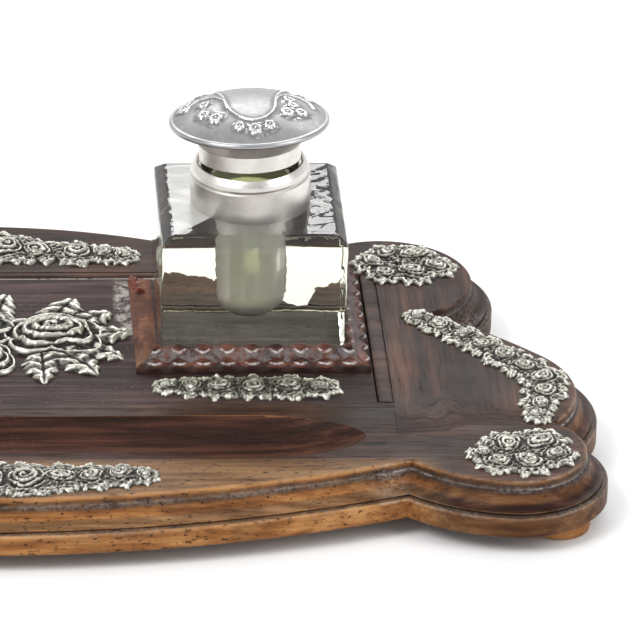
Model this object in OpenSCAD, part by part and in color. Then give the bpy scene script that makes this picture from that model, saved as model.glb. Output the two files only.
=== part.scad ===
// Inkstand with two square glass inkwells on a scalloped wooden stand.
// Origin: middle of the footprint, on the surface the feet stand on. +Y is the back.

/* [Stand] */
// Height of the turned disc feet
foot_h = 5.5; // [4:0.5:8]
// Thickness of the lower (plinth) board
plinth_t = 6.5; // [5:0.5:9]
// Thickness of the moulded top board
board_t = 8.5; // [8:0.5:12]
// Distance from the plinth edge in to the edge of the flat top
top_inset = 6.3; // [5:0.1:7]
// Depth of the pen trough
trough_depth = 6.5; // [4.5:0.5:7]

/* [Inkwells] */
// Side of the square glass block
block_w = 54; // [50:1:56]
// Height of the glass block up to its flat top
block_h = 39.4; // [36:0.2:44]
// Distance from the middle of the stand to the middle of each inkwell
well_x = 80; // [78:1:80]
// How far the lids stand open as they rest
ajar = 5.5; // [1:0.5:10]
// Diameter of the ink cavity at its mouth
cavity_d = 22.4; // [18:0.2:24]

/* [Silver] */
// Outer diameter of the collar on the glass
collar_d = 35.2; // [34:0.2:38]
// Outer diameter of the lid at its beaded rim
lid_d = 46.8; // [42:0.2:50]
// Height of the lid's dome above its rim
dome_h = 7.2; // [5:0.2:9]
// Thickness of the sheet silver
sheet_t = 0.8; // [0.6:0.1:1]

/* [Hidden] */
$fn = 64;
SIDES = ["left", "right"];
STAND_NODES = [
    "foot_front_left", "foot_front_right", "foot_back_left", "foot_back_right", "foot_screws",
    "plinth_board", "board_screws", "top_board", "inset_panel",
    "panel_strip_front", "panel_strip_back", "panel_strip_left", "panel_strip_right",
    "left_gallery_front", "left_gallery_outer", "left_gallery_inner",
    "right_gallery_front", "right_gallery_outer",
    "rose_mount_centre", "garland_back", "garland_front", "mount_pins"];
MOUNT_KINDS = ["garland_panel", "garland_end", "spray_front_lobe", "spray_back_lobe"];
WELL_KINDS = ["glass_well", "collar_cement", "collar", "collar_hinge_leaf", "hinge_pin",
              "lid_base", "lid_cover", "lid_liner", "lid_hinge_leaf"];

WALNUT = "#5a3f30";
OAK = "#a5713f";
DARK_WOOD = "#45353a";
SILVER = "#b9b7b0";
OLD_SILVER = "#8f8f86";
GLASS = [0.80, 0.84, 0.66, 0.45];
PLASTER = "#d8d2c2";
BRASS = "#b08d57";

top_z = foot_h + plinth_t + board_t;
bottom_z = foot_h;
joint_z = foot_h + plinth_t;

// The edge is a chain of arcs from the middle of the front, round the right end, to the
// middle of the back: [centre, radius at the plinth edge, number of segments].
ARCS = [
    [[0, 253.7], 348, 10],       // front bow
    [[154.4, -34.2], 51.3, 5],   // front lobe, long side
    [[152, -58.5], 26.9, 9],    // front lobe, end
    [[140, -21], 39, 9],        // middle lobe, end
    [[29.2, -117.6], 186, 3],    // middle lobe, long side
    [[122, 51], 32.2, 12],       // back lobe
    [[0, -69], 163, 9]];        // back bow

// Where two circles cross, on the right-hand side of the way from a to b
function crossing(a, ra, b, rb) =
    let (d = norm(b - a), u = (b - a) / d, x = (d * d + ra * ra - rb * rb) / (2 * d),
         h = sqrt(max(0, ra * ra - x * x)))
    a + x * u + h * [u.y, -u.x];
function bearing(p) = atan2(p.y, p.x);
function arc_points(c, p, q, n) =
    let (r = norm(p - c), a = bearing(p - c), b = bearing(q - c), sweep = b < a ? b + 360 - a : b - a)
    [for (i = [0:n - 1]) c + r * [cos(a + sweep * i / n), sin(a + sweep * i / n)]];
function reversed(list) = [for (i = [len(list) - 1:-1:0]) list[i]];

// The stand's edge, moved inwards by inset
function outline(inset) =
    let (n = len(ARCS),
         corners = concat([ARCS[0][0] - [0, ARCS[0][1] - inset]],
             [for (i = [0:n - 2]) crossing(ARCS[i][0], ARCS[i][1] - inset,
                                           ARCS[i + 1][0], ARCS[i + 1][1] - inset)],
             [ARCS[n - 1][0] + [0, ARCS[n - 1][1] - inset]]),
         half = concat([for (i = [0:n - 1]) each arc_points(ARCS[i][0], corners[i], corners[i + 1],
                                                            ARCS[i][2])], [corners[n]]),
         inner = [for (i = [1:len(half) - 2]) half[i]])
    concat(half, [for (p = reversed(inner)) [-p.x, p.y]]);

// A closed solid from a stack of rings that all have the same number of points
module ring_solid(rings) {
    m = len(rings);
    n = len(rings[0]);
    sides = [for (j = [0:m - 2], i = [0:n - 1])
        [j * n + i, (j + 1) * n + i, (j + 1) * n + (i + 1) % n, j * n + (i + 1) % n]];
    polyhedron(points = [for (ring = rings) each ring],
               faces = concat([[for (i = [0:n - 1]) i]], sides,
                              [[for (i = [n - 1:-1:0]) (m - 1) * n + i]]), convexity = 8);
}

// Edge moulding of the top board as nested layers: [inset, height above the joint]
ledge = 1.5;
cove_h = 4.9;
cove_steps = 7;
EDGE = concat(
    [for (i = [0:cove_steps - 1]) let (a = 90 * (i + 0.5) / cove_steps)
        [ledge + (top_inset - ledge - 0.8) * sin(90 * i / cove_steps), 0.4 + cove_h * (1 - cos(a))]],
    [[top_inset, board_t - 0.6], [top_inset + 0.5, board_t]]);

foot_r = 8.9;
FEET = [[-164.5, -68], [164.5, -68], [-128, 56], [128, 56]];
BOARD_SCREWS = [for (x = [-1, 0, 1]) each [[x * 95, -68], [x * 74, 60]]];

screw_r = 1.45;
screw_head_r = 3.1;
clearance_r = 1.5;
// Height of a screw head above the face it is sunk into
screw_sunk = 0.1;

// The cone that a screw head sits in, with a little room round the head
module countersink() {
    r = screw_head_r + 0.4;
    translate([0, 0, -0.01]) cylinder(r1 = r, r2 = clearance_r, h = r - clearance_r);
}

module foot(i) {
    color(OAK) translate(FEET[i]) difference() {
        rotate_extrude() polygon([[0, 0], [foot_r - 1.2, 0], [foot_r - 0.3, 0.5], [foot_r, 1.5],
            [foot_r, foot_h - 1.5], [foot_r - 0.3, foot_h - 0.5], [foot_r - 1, foot_h], [0, foot_h]]);
        translate([0, 0, -1]) cylinder(r = clearance_r, h = foot_h + 2);
        countersink();
    }
}

// A countersunk wood screw, head down, its tip at height h
module screw(h) {
    rotate_extrude() polygon([[0, 0], [screw_head_r, 0], [screw_r, screw_head_r - screw_r],
                              [screw_r, h - 2], [0, h]]);
}

module foot_screws() {
    color(BRASS) for (p = FEET) translate([p.x, p.y, screw_sunk])
        screw(foot_h + plinth_t - 1.4);
}

module plinth_board() {
    color(OAK) difference() {
        translate([0, 0, bottom_z]) linear_extrude(plinth_t) polygon(outline(0));
        for (p = FEET) translate([p.x, p.y, bottom_z - 1])
            cylinder(r = screw_r, h = plinth_t);
        for (p = BOARD_SCREWS) translate([p.x, p.y, bottom_z]) {
            translate([0, 0, -1]) cylinder(r = clearance_r, h = plinth_t + 2);
            countersink();
        }
    }
}

module board_screws() {
    color(BRASS) for (p = BOARD_SCREWS) translate([p.x, p.y, bottom_z + screw_sunk])
        screw(plinth_t + 4);
}

// Pen trough: a scooped groove with tapering ends
trough_y = -50.2;
trough_w = 26.5;
trough_x = 111;
trough_end = 34;
trough_r = (trough_w * trough_w / 4 + trough_depth * trough_depth) / (2 * trough_depth);
// Steps in which each end rises; the last one runs out just above the top
trough_steps = 6;
trough_runout = 0.5;

module trough_cutter() {
    axis_h = trough_r - trough_depth;
    flat = trough_x - trough_end;
    rise = [for (i = [0:trough_steps]) let (t = i / trough_steps)
        [trough_r - (trough_depth + trough_runout) * t * t, flat + trough_end * t]];
    translate([0, trough_y, top_z + axis_h]) rotate([0, 90, 0]) rotate_extrude()
        polygon(concat([[0, -trough_x]], reversed([for (p = rise) [p.x, -p.y]]), rise, [[0, trough_x]]));
}

// The sunk field in the top that holds the panel and its border strips
panel_x = 114.5;
panel_front = -28.8;
panel_back = 53.6;
panel_t = 2.2;
strip_w = 4.4;
strip_front_w = 3.8;
strip_back_w = 2.6;
pocket_depth = 3;
crack = 0.4;
panel_z = top_z - pocket_depth;
panel_top = panel_z + panel_t;

module pocket_cutter() {
    translate([-panel_x - strip_w - crack, panel_front - strip_front_w, panel_z])
        cube([2 * (panel_x + strip_w + crack), panel_back - panel_front + strip_front_w + strip_back_w,
              pocket_depth + 1]);
}

module top_board() {
    color(WALNUT) difference() {
        for (e = EDGE) translate([0, 0, joint_z]) linear_extrude(e[1]) polygon(outline(e[0]));
        trough_cutter();
        pocket_cutter();
        for (p = BOARD_SCREWS) translate([p.x, p.y, joint_z - 0.5])
            cylinder(r = screw_r, h = 5);
    }
}

module inset_panel() {
    color(DARK_WOOD) translate([-panel_x, panel_front, panel_z])
        cube([2 * panel_x, panel_back - panel_front, panel_t]);
}

// A border strip of length l along +X and width w, with a half-round top
module bead_strip(l, w) {
    rotate([90, 0, 90]) linear_extrude(l)
        polygon(concat([[0, 0], [w, 0]],
                       [for (a = [0:15:180]) [w / 2 * (1 + cos(a)), panel_t + 0.3 + 0.5 * sin(a)]]));
}

module panel_strip_front() {
    l = 2 * (panel_x + strip_w + crack);
    color(WALNUT) translate([-l / 2, panel_front - strip_front_w, panel_z]) bead_strip(l, strip_front_w);
}

module panel_strip_back() {
    l = 2 * (panel_x + strip_w + crack);
    color(WALNUT) translate([-l / 2, panel_back, panel_z]) bead_strip(l, strip_back_w);
}

module panel_strip_side(s) {
    color(WALNUT) translate([s * (panel_x + crack + strip_w / 2) + strip_w / 2, panel_front, panel_z])
        rotate([0, 0, 90]) bead_strip(panel_back - panel_front, strip_w);
}

// Gallery rails: a hollow-faced moulding with waves across it, mitred at the corners
rail_w = 7;
rail_gap = 0.3;
wave_pitch = 7.1;
wave_h = 0.45;
// Section of a rail: [out from the well, height, how much of the wave it takes]
RAIL = [[0, 0, 0], [0, 6, 1], [1, 6.2, 1], [2, 4.6, 0.5], [3.6, 2.7, 0.3], [5.4, 2.7, 0.9],
        [6.6, 2.1, 1], [7, 0, 0]];
rail_in = block_w / 2 + rail_gap;

// A rail along X whose inner face lies on y = 0 and which grows towards -Y.
// x0 and x1 are its ends at the inner face; m0 and m1 say how its ends run out: 1 for a mitre, 0 square.
module wave_rail(x0, x1, m0, m1) {
    n = ceil((x1 - x0 + rail_w * (m0 + m1)) / wave_pitch * 6);
    ring_solid([for (i = [0:n]) [for (p = RAIL)
        let (a = x0 - m0 * p[0], b = x1 + m1 * p[0], x = a + (b - a) * i / n)
        [x, -p[0], p[1] + p[2] * wave_h * (cos(360 * x / wave_pitch) - 1)]]]);
}

module at_well(s) {
    translate([s * well_x, 26, panel_top]) children();
}

module gallery_front(s, inner_mitre) {
    color(WALNUT) at_well(s) translate([0, -rail_in, 0])
        wave_rail(-rail_in, rail_in, s > 0 ? inner_mitre : 1, s > 0 ? 1 : inner_mitre);
}

// Side rail of a gallery; dir is +1 for the rail on the well's right, -1 on its left
module gallery_side(s, dir) {
    back = panel_back - 26 - 1.2;
    color(WALNUT) at_well(s) translate([dir * rail_in, 0, 0]) rotate([0, 0, dir * 90])
        wave_rail(dir > 0 ? -rail_in : -back, dir > 0 ? back : rail_in, dir > 0 ? 1 : 0, dir > 0 ? 0 : 1);
}

// --- Inkwells. Each is drawn about its own axis with z = 0 at the flat top of the glass. ---
bevel_out = 3;
bevel_down = 2.35;
neck_r = 16.2;
neck_h = 7.6;
cavity_depth = 32.5;
collar_r = collar_d / 2;
collar_h = 13.3;
shoulder_z = 9.4;
mouth_r = 15.3;
seat_z = 11.6;
cement_top = shoulder_z - 0.9;
lean = 2;
glass_z = panel_top + block_h;

module at_glass_top(s) {
    translate([s * well_x, 26, glass_z]) children();
}

SQUARE = [[-1, -1], [1, -1], [1, 1], [-1, 1]];

module glass_well(s) {
    base = block_w / 2;
    tip = base - bevel_out;
    r = cavity_d / 2;
    color(GLASS) at_glass_top(s) difference() {
        union() {
            translate([0, 0, -block_h]) linear_extrude(block_h - bevel_down) square(block_w, center = true);
            polyhedron(
                points = concat([for (p = SQUARE) [p.x * base, p.y * base, -bevel_down]],
                                [for (p = SQUARE) [p.x * tip, p.y * tip, 0]]),
                faces = [[0, 1, 2, 3], [4, 7, 6, 5], [0, 4, 5, 1], [1, 5, 6, 2], [2, 6, 7, 3], [3, 7, 4, 0]]);
            cylinder(r = neck_r, h = neck_h);
        }
        rotate_extrude() polygon(concat(
            [[0, neck_h + 1], [r, neck_h + 1], [r - 1.2, 8 - cavity_depth]],
            [for (a = [10:10:80]) [(r - 1.2) * cos(a), 8 - cavity_depth - 8 * sin(a)]],
            [[0, -cavity_depth]]));
    }
}

// The right-hand collar has set with a slight lean
module leaned(s) {
    rotate([0, s > 0 ? -lean : 0, 0]) children();
}

// Everything below the collar's cut stays off the glass top
module above_glass() {
    intersection() {
        children();
        translate([-40, -40, 0]) cube([80, 80, 60]);
    }
}

module collar_cement(s) {
    color(PLASTER) at_glass_top(s) above_glass() leaned(s) difference() {
        translate([0, 0, -2]) cylinder(r = collar_r - sheet_t, h = cement_top + 2);
        rotate([0, s > 0 ? lean : 0, 0]) translate([0, 0, -5]) cylinder(r = neck_r, h = 30);
    }
}

module collar(s) {
    color(SILVER) at_glass_top(s) above_glass() leaned(s) rotate_extrude()
        polygon([[collar_r - sheet_t, -2], [collar_r, -2], [collar_r, shoulder_z - 0.4],
            [collar_r - 0.5, shoulder_z], [collar_r - 0.3, shoulder_z + 0.9],
            [collar_r - 0.6, shoulder_z + 2],
            [collar_r - 1.2, shoulder_z + 3], [mouth_r + 0.5, collar_h - 0.1], [mouth_r, collar_h - 0.3],
            [mouth_r, seat_z], [mouth_r - 1, seat_z], [mouth_r - 1, seat_z - sheet_t],
            [collar_r - 1.6, seat_z - sheet_t], [collar_r - 1.5, cement_top],
            [collar_r - sheet_t, cement_top]]);
}

// --- Hinge at the back of the collar, seen with the lid shut. The pin runs along X. ---
pin_y = 19.4;
pin_z = 12.6;
pin_r = 0.6;
knuckle_r = 1.3;
knuckle_l = 4;
hinge_l = 12.4;
running_gap = 0.05;
// The leaves are cut back to the silver they are soldered to, with this much between
solder = 0.02;
leaf_y = 14;
collar_leaf_z = 5.4;
collar_leaf_t = 4.4;
lid_leaf_h = 8.2;
leaf_rise = 0.79;

module knuckle(l) {
    rotate([0, 90, 0]) cylinder(r = knuckle_r, h = l, center = true);
}

module at_pin() {
    translate([0, pin_y, pin_z]) children();
}

module pin_hole(r) {
    at_pin() rotate([0, 90, 0]) cylinder(r = r, h = hinge_l + 10, center = true);
}

// The room that the collar fills beside the hinge
module collar_room() {
    translate([0, 0, collar_leaf_z - 1]) cylinder(r = collar_r + solder, h = 20, $fn = 128);
}

module collar_hinge_leaf(s) {
    color(SILVER) at_glass_top(s) leaned(s) difference() {
        union() {
            for (x = [-1, 1]) at_pin() translate([x * (hinge_l - knuckle_l) / 2, 0, 0]) knuckle(knuckle_l);
            difference() {
                for (x = [-1, 1])
                    translate([x * (hinge_l - knuckle_l) / 2 - knuckle_l / 2, leaf_y, collar_leaf_z])
                        cube([knuckle_l, pin_y - leaf_y, pin_z - collar_leaf_z]);
                collar_room();
                at_pin() rotate([0, 90, 0]) translate([0, 0, -20]) rotate([0, 0, 90])
                    translate([0.6, -10, 0]) cube([10, 10.01, 40]);
            }
            translate([-hinge_l / 2, 0, 0]) difference() {
                translate([0, leaf_y, collar_leaf_z]) cube([hinge_l, collar_leaf_t, collar_leaf_t]);
                translate([hinge_l / 2, 0, 0]) collar_room();
            }
        }
        pin_hole(pin_r);
    }
}

module hinge_pin(s) {
    color(SILVER) at_glass_top(s) leaned(s) at_pin() rotate([0, 90, 0])
        cylinder(r = pin_r, h = hinge_l + 0.8, center = true);
}

// Turns a shut lid to the angle at which it rests
module opened(s) {
    at_glass_top(s) leaned(s) at_pin() rotate([-ajar, 0, 0]) translate([0, -pin_y, -pin_z]) children();
}

spigot_r = 14.9;
spigot_z = 12;
cone_z = 17;
rim_r = lid_d / 2;
rim_z = 23.2;

module lid_base(s) {
    color(SILVER) opened(s) rotate_extrude()
        polygon([[spigot_r - sheet_t, spigot_z], [spigot_r, spigot_z], [spigot_r, cone_z - 0.5],
            [spigot_r + 0.5, cone_z], [17.6, cone_z + 3.4], [19.4, rim_z - 1.4], [rim_r - 1.6, rim_z - 1],
            [rim_r - 1.6, rim_z], [19, rim_z - 0.6], [16.9, cone_z + 4.2],
            [spigot_r - sheet_t, cone_z + 0.6]]);
}

// Height of the dome above the rim at radius r
function dome(r) = dome_h * (1 - pow(r / rim_r, 2.2));

module lid_cover(s) {
    steps = [0:2:rim_r - 1.4];
    color(SILVER) opened(s) rotate_extrude() polygon(concat(
        [for (r = steps) [r, rim_z + dome(r)]],
        [[rim_r - 0.7, rim_z + 0.8], [rim_r, rim_z + 0.1], [rim_r - 0.1, rim_z - 0.7],
         [rim_r - 0.8, rim_z - 1.1],
         [rim_r - 1.55, rim_z - 1], [rim_r - 1.55, rim_z + 0.05]],
        [for (r = reversed([for (q = steps) q])) [r, rim_z + dome(r) - sheet_t]]));
}

module lid_liner(s) {
    color(BRASS) opened(s) translate([0, 0, spigot_z + 0.4]) cylinder(r = spigot_r - sheet_t, h = 0.8);
}

module lid_hinge_leaf(s) {
    tab = hinge_l - 2 * knuckle_l - 0.4;
    color(SILVER) opened(s) difference() {
        union() {
            at_pin() knuckle(tab);
            difference() {
                translate([-tab / 2, leaf_y, pin_z + 0.5]) cube([tab, pin_y + 0.5 - leaf_y, lid_leaf_h]);
                cylinder(r = spigot_r + solder, h = 40, $fn = 128);
                translate([0, 0, cone_z - 0.6])
                    cylinder(r1 = spigot_r + 0.5 + solder, r2 = spigot_r + 0.5 + solder + leaf_rise * 9,
                             h = 9, $fn = 128);
                translate([0, 0, 5]) cylinder(r = collar_r + 0.3, h = collar_h - 4.8, $fn = 128);
            }
        }
        pin_hole(pin_r + running_gap);
    }
}

// --- Cast silver mounts: roses, buds and leaves in low relief. ---

// A rose head of r wide and h high, its petals turning about the heart
module rose(r, h) {
    rings = 3;
    n = 9;
    function relief(k, a) = h * (cos(75 * k / rings) + 0.2 * sin(3 * a + 120 * k) * sin(180 * k / rings));
    ring_solid([for (k = [rings + 1:-1:1]) [for (i = [0:n - 1])
        let (a = i * 360 / n, q = r * min(k, rings) / rings * (1 + 0.06 * sin(5 * a)))
        [q * cos(a), q * sin(a), k > rings ? 0 : relief(k, a)]]]);
}

// A pointed leaf of length l and width w along +X, highest a third of the way along
module leaf(l, w, h) {
    hull() {
        cylinder(d = 0.8, h = h * 0.4, $fn = 4);
        translate([l * 0.35, 0, 0]) cylinder(d1 = w * 0.9, d2 = w * 0.3, h = h, $fn = 5);
        translate([l - 0.4, 0, 0]) cylinder(d = 0.8, h = h * 0.3, $fn = 3);
    }
}

// A row of roses with a leaf tip on either side: sprigs are [x, y, rose radius, turn]
module spray(sprigs, h) {
    for (p = sprigs) translate([p[0], p[1], 0]) rotate([0, 0, p[3]]) {
        rose(p[2], h);
        for (a = [55, 235]) rotate([0, 0, a]) translate([p[2] * 0.5, 0, 0])
            leaf(p[2] * 0.85, p[2] * 0.7, h * 0.7);
    }
}

relief = 2.6;
GARLAND_BACK = [[0, 71, 9.5, 20], [10.5, 71.5, 8.5, 70], [20, 69, 6.6, 10], [31.5, 67.8, 6.4, 50],
                [39, 67, 5, 0], [45, 66, 4.4, 30]];
GARLAND_FRONT = [[0, -76.5, 9.3, 20], [11, -76.8, 8.4, 60], [21, -76, 7, 15], [30, -75.6, 6.4, 45],
                 [38, -75, 5.6, 0], [44.5, -75, 4.2, 20]];
GARLAND_PANEL = [[54.5, -18, 3.8, 0], [61, -18.5, 5, 40], [69.5, -18.5, 6, 10], [79.5, -18.5, 6.2, 60],
                 [89.5, -18.6, 6.2, 20], [98.5, -19, 5.2, 0]];
GARLAND_END = [[130, 24.5, 3.8, 0], [136, 18.5, 4.8, 40], [142, 12.5, 5, 80], [148, 5.8, 5.2, 20],
               [153.5, -1.2, 5.6, 60], [159, -8, 6, 10], [163.5, -15.5, 6.2, 50], [163.5, -24, 5.6, 0],
               [161, -32, 4.8, 30], [160, -39, 3.8, 70]];
SPRAY_FRONT = [[150, -57.5, 7, 0], [159.5, -56, 7, 50], [163, -64, 5.4, 20], [155, -68.5, 6.4, 80],
               [146.5, -68, 5.6, 35], [142, -63, 3.8, 10]];
SPRAY_BACK = [[119.5, 60, 5.6, 0], [123.5, 66, 5.2, 40], [131.5, 65, 6, 75], [137.5, 57.5, 5.6, 15],
              [130.5, 54, 6.2, 60], [122.5, 53, 4.8, 30]];

module rose_mount_centre() {
    color(OLD_SILVER) translate([0, 14, panel_top]) {
        for (s = [-1, 1]) {
            translate([s * 22, 0, 0]) rose(15.5, 6);
            for (a = [-85, -55, -28, 4, 34, 64]) translate([s * 17, 0, 0])
                rotate([0, 0, s > 0 ? a : 180 - a]) translate([9, 0, 0]) leaf(20, 12, 2.6);
        }
        translate([0, 7, 0]) rose(14, 5);
        translate([0, -14, 0]) rose(12, 4);
        for (s = [-1, 1]) rotate([0, 0, 90 + s * 22]) translate([10, 0, 0]) leaf(20, 12, 2.4);
    }
}

module mirrored_pair() {
    children();
    mirror([1, 0, 0]) children();
}

module garland_back() {
    color(OLD_SILVER) translate([0, 0, top_z]) mirrored_pair() spray(GARLAND_BACK, relief);
}

module garland_front() {
    color(OLD_SILVER) translate([0, 0, top_z]) mirrored_pair() spray(GARLAND_FRONT, relief);
}

module handed(s) {
    mirror([s > 0 ? 0 : 1, 0, 0]) children();
}

module garland_panel(s) {
    color(OLD_SILVER) handed(s) translate([0, 0, panel_top]) spray(GARLAND_PANEL, relief);
}

module garland_end(s) {
    color(OLD_SILVER) handed(s) translate([0, 0, top_z]) spray(GARLAND_END, relief);
}

module spray_front_lobe(s) {
    color(OLD_SILVER) handed(s) translate([0, 0, top_z]) spray(SPRAY_FRONT, relief);
}

module spray_back_lobe(s) {
    color(OLD_SILVER) handed(s) translate([0, 0, top_z]) spray(SPRAY_BACK, relief);
}

// Fine brass pins that hold the mounts down
PINS_TOP = [for (list = [GARLAND_BACK, GARLAND_FRONT, GARLAND_END, SPRAY_FRONT, SPRAY_BACK],
                 i = [1, len(list) - 2]) list[i]];
PINS_PANEL = [GARLAND_PANEL[1], GARLAND_PANEL[4], [22, 14]];

module mount_pins() {
    color(BRASS) mirrored_pair() {
        for (p = PINS_TOP) translate([p.x, p.y, top_z - 2.5]) cylinder(r = 0.5, h = 4);
        for (p = PINS_PANEL) translate([p.x, p.y, panel_top - 1.6]) cylinder(r = 0.5, h = 3.2);
    }
}

foot(0);  // foot_front_left
foot(1);  // foot_front_right
foot(2);  // foot_back_left
foot(3);  // foot_back_right
foot_screws();
plinth_board();
board_screws();
top_board();
inset_panel();
panel_strip_front();
panel_strip_back();
panel_strip_side(-1);  // panel_strip_left
panel_strip_side(1);  // panel_strip_right
gallery_front(-1, 1);  // left_gallery_front
gallery_side(-1, -1);  // left_gallery_outer
gallery_side(-1, 1);  // left_gallery_inner
gallery_front(1, 1);  // right_gallery_front
gallery_side(1, 1);  // right_gallery_outer
rose_mount_centre();
garland_back();
garland_front();
mount_pins();
garland_panel(-1);  // left_garland_panel
garland_panel(1);  // right_garland_panel
garland_end(-1);  // left_garland_end
garland_end(1);  // right_garland_end
spray_front_lobe(-1);  // left_spray_front_lobe
spray_front_lobe(1);  // right_spray_front_lobe
spray_back_lobe(-1);  // left_spray_back_lobe
spray_back_lobe(1);  // right_spray_back_lobe
glass_well(-1);  // left_glass_well
glass_well(1);  // right_glass_well
collar_cement(-1);  // left_collar_cement
collar_cement(1);  // right_collar_cement
collar(-1);  // left_collar
collar(1);  // right_collar
collar_hinge_leaf(-1);  // left_collar_hinge_leaf
collar_hinge_leaf(1);  // right_collar_hinge_leaf
hinge_pin(-1);  // left_hinge_pin
hinge_pin(1);  // right_hinge_pin
lid_base(-1);  // left_lid_base
lid_base(1);  // right_lid_base
lid_cover(-1);  // left_lid_cover
lid_cover(1);  // right_lid_cover
lid_liner(-1);  // left_lid_liner
lid_liner(1);  // right_lid_liner
lid_hinge_leaf(-1);  // left_lid_hinge_leaf
lid_hinge_leaf(1);  // right_lid_hinge_leaf
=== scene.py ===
import math

import bpy
import numpy as np
from mathutils import Matrix, Vector


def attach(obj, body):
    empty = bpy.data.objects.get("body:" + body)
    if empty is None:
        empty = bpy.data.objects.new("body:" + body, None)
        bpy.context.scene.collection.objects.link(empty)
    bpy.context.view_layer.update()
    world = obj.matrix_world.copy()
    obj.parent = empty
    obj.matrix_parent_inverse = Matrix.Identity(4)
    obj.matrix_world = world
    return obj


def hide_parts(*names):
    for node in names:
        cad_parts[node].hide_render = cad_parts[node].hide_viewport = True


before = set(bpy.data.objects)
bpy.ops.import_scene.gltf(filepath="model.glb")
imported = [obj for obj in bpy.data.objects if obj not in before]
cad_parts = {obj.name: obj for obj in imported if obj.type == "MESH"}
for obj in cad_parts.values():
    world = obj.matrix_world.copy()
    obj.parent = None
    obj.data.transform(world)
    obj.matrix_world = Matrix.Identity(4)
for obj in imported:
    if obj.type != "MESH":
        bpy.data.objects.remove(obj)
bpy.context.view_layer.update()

MM = 0.001
PI2 = 2 * math.pi

# ---- sizes, in mm, as in the CAD
FOOT_H, PLINTH_T, BOARD_T, TOP_INSET = 5.5, 6.5, 8.5, 6.3
JOINT_Z = FOOT_H + PLINTH_T
TOP_Z = JOINT_Z + BOARD_T
POCKET_DEPTH, PANEL_T = 3.0, 2.2
PANEL_Z = TOP_Z - POCKET_DEPTH
PANEL_TOP = PANEL_Z + PANEL_T
PANEL_X, PANEL_FRONT, PANEL_BACK = 114.5, -28.8, 53.6
STRIP_W, STRIP_FRONT_W, STRIP_BACK_W, CRACK = 4.4, 3.8, 2.6, 0.4
TROUGH_Y, TROUGH_W, TROUGH_X, TROUGH_END, TROUGH_DEPTH = -50.2, 26.5, 111.0, 34.0, 6.5
TROUGH_R = (TROUGH_W ** 2 / 4 + TROUGH_DEPTH ** 2) / (2 * TROUGH_DEPTH)
WELL_X, WELL_Y, BLOCK_W, BLOCK_H = 80.0, 26.0, 54.0, 39.4
GLASS_Z = PANEL_TOP + BLOCK_H
WAVE_PITCH, WAVE_H = 7.1, 0.45
RAIL_IN = BLOCK_W / 2 + 0.3
NECK_R, NECK_H, CAVITY_R, CAVITY_DEPTH = 16.2, 7.6, 11.2, 32.5
LEAN, AJAR, PIN_Y, PIN_Z = 2.0, 5.5, 19.4, 12.6
RIM_R, RIM_Z, DOME_H, SHEET_T = 23.4, 23.2, 7.2, 0.8
LID_LOWER = 0.35  # room for the chasing to stand up within the cover's own size

# The plinth's edge as arcs, (centre, radius), from the middle of the front round the right end to the back,
# and the number of points on each
ARCS = [((0, 253.7), 348), ((154.4, -34.2), 51.3), ((152, -58.5), 26.9), ((140, -21), 39),
        ((29.2, -117.6), 186), ((122, 51), 32.2), ((0, -69), 163)]
ARC_POINTS = [90, 30, 60, 50, 20, 70, 70]
NOTCHES = ((119.5, -73.5), (158, -40), (150.5, 32.5), (60, 83))
BOW_X = 112  # how far the front bow's golden wood runs to either side
SIDES = ((-1, "left"), (1, "right"))


# ---- meshes
def loose(name, verts, faces, attrs=None):
    """A mesh object from points in mm; attrs are per-point floats for the materials."""
    me = bpy.data.meshes.new(name)
    me.from_pydata((np.asarray(verts, float) * MM).tolist(), [],
                   faces.tolist() if isinstance(faces, np.ndarray) else faces)
    for key, values in (attrs or {}).items():
        me.attributes.new(key, "FLOAT", "POINT").data.foreach_set("value", np.asarray(values, np.float32))
    me.validate()
    ob = bpy.data.objects.new(name, me)
    bpy.context.scene.collection.objects.link(ob)
    return ob


def add_mesh(name, verts, faces, body, material, attrs, smooth, uses):
    """A finished piece: its mesh, its shading and the body that it rides on."""
    ob = loose(name, verts, faces, attrs)
    finish_mesh(ob, material, smooth)
    place(ob, body, uses)


def finish_mesh(ob, material, smooth):
    ob.data.materials.clear()
    ob.data.materials.append(material)
    ob.data.shade_smooth()
    if smooth < 180:
        ob.data.set_sharp_from_angle(angle=math.radians(smooth))


def place(ob, body, uses):
    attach(ob, body)
    if uses:
        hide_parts(*uses)


def loft_faces(rings, n, closed=False):
    """Quads between successive rings of n points each."""
    i = np.arange(n)
    j = (i + 1) % n
    out = []
    last = rings if closed else rings - 1
    for k in range(last):
        a, b = k * n, ((k + 1) % rings) * n
        out.append(np.stack([a + i, a + j, b + j, b + i], axis=1))
    return np.concatenate(out)


def capped(rings, n):
    """A loft through the rings, with a flat face at each end."""
    return loft_faces(rings, n).tolist() + [list(range(n))[::-1], [(rings - 1) * n + k for k in range(n)]]


def circle(r, z, t):
    return np.stack([r * np.cos(t), r * np.sin(t), np.full(len(t), z)], axis=1)


def lathe(profile, n):
    """Points and faces of a closed profile [(r, z)...] turned about Z."""
    t = np.arange(n) * PI2 / n
    pts = np.concatenate([circle(r, z, t) for r, z in profile])
    return pts, loft_faces(len(profile), n, closed=True)


def moved(pts, matrix):
    m = np.array(matrix)
    return np.asarray(pts) @ m[:3, :3].T + m[:3, 3]


def boolean(ob, other, operation):
    """Cuts other from ob, or joins it on, and removes other."""
    mod = ob.modifiers.new("cut", "BOOLEAN")
    mod.object, mod.operation, mod.solver = other, operation, "EXACT"
    deps = bpy.context.evaluated_depsgraph_get()
    deps.update()
    me = bpy.data.meshes.new_from_object(ob.evaluated_get(deps))
    ob.modifiers.clear()
    ob.data = me
    bpy.data.objects.remove(other, do_unlink=True)


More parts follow.
